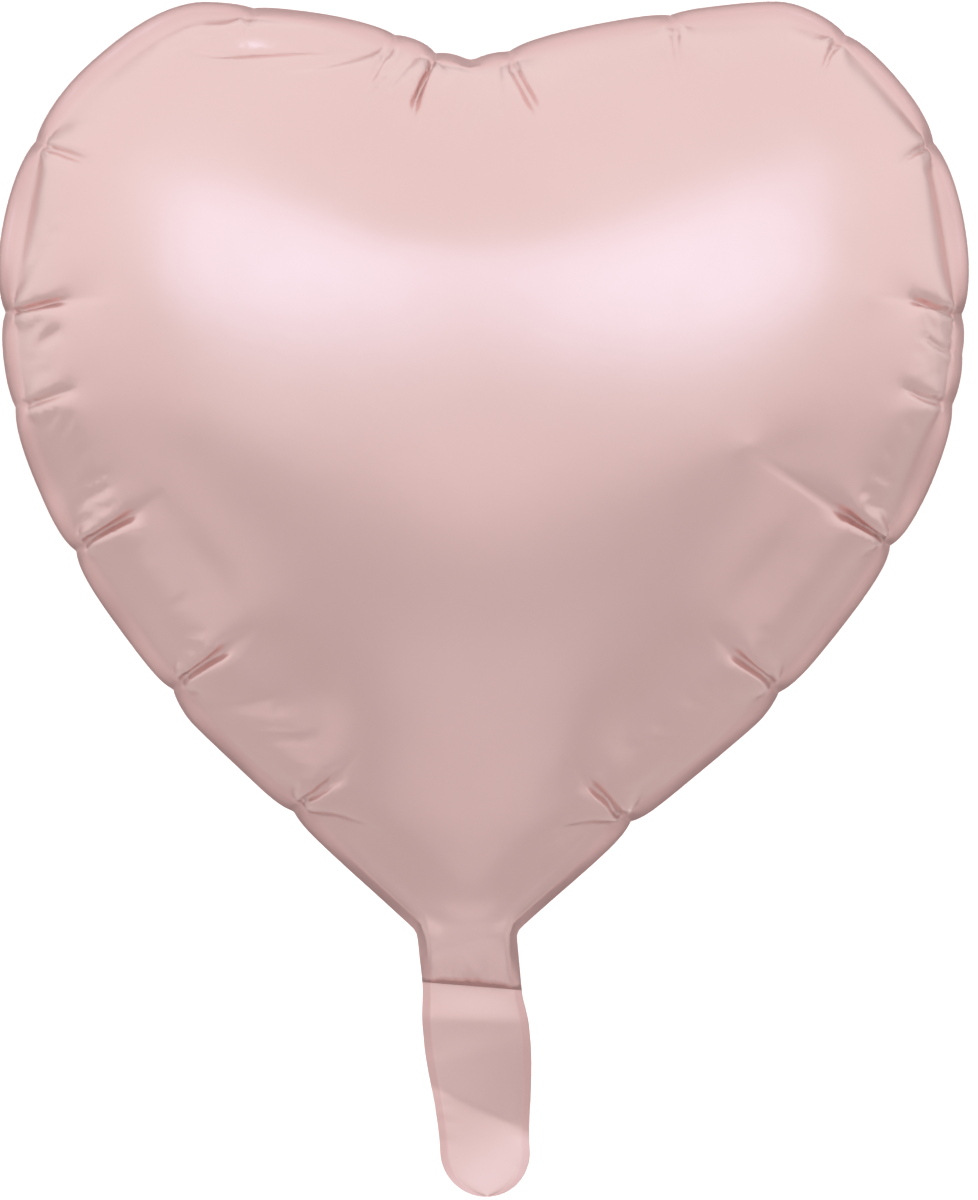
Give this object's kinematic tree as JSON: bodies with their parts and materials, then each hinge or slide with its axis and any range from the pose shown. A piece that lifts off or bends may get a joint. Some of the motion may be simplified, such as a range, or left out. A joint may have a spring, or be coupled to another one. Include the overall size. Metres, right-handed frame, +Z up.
{
  "type": "heart-shaped foil balloon",
  "caption": "Inflated heart balloon of two heat-sealed foil films with a rim weld, a flat filler tail that folds at the neck, and a self-sealing film valve inside.",
  "frame": {"origin": "middle of the neck, where the heart's lower point runs into the filler tail and where a ribbon is tied", "axes": "+Z up along the heart towards its cleft, the tail hangs along -Z, -Y is the front face, +X is to the right seen from the front"},
  "size_m": [0.4, 0.19, 0.493],
  "materials": {
    "rose_foil": "satin metallised film, pale rose pink",
    "rose_weld": "heat-sealed film edge, a little darker than the foil",
    "clear_film": "thin milky polyethylene film"
  },
  "bodies": {
    "balloon": {"heart_front_film": "rose_foil", "heart_back_film": "rose_foil", "heart_rim_weld": "rose_weld"},
    "neck": {"neck_front_film": "rose_foil", "neck_back_film": "rose_foil", "neck_weld_left": "rose_weld", "neck_weld_right": "rose_weld", "valve_channel_front": "clear_film", "valve_channel_back": "clear_film"},
    "tail": {"tail_front_film": "rose_foil", "tail_back_film": "rose_foil", "tail_weld_left": "rose_weld", "tail_weld_right": "rose_weld", "valve_inlet_front": "clear_film", "valve_inlet_back": "clear_film"},
    "front_lip": {"valve_lip_front": "clear_film"},
    "back_lip": {"valve_lip_back": "clear_film"}
  },
  "joints": [
    {"name": "neck_fold", "type": "hinge", "parent": "balloon", "child": "neck", "pos_m": [0, 0, 0], "axis": [1, 0, 0], "range_deg": [-60, 60]},
    {"name": "tail_fold", "type": "hinge", "parent": "neck", "child": "tail", "pos_m": [0, 0, -0.032], "axis": [1, 0, 0], "range_deg": [-60, 60]},
    {"name": "valve_open", "type": "hinge", "parent": "balloon", "child": "front_lip", "pos_m": [0, -0.0003, 0.0022], "axis": [1, 0, 0], "range_deg": [0, 8], "stiffness_Nm_per_rad": 0.0005},
    {"name": "valve_open_back", "type": "hinge", "parent": "balloon", "child": "back_lip", "pos_m": [0, 0.0003, 0.0022], "axis": [1, 0, 0], "range_deg": [-8, 0], "stiffness_Nm_per_rad": 0.0005}
  ],
  "couplings": [
    {"joint": "valve_open_back", "follows": "valve_open", "ratio": -1}
  ]
}
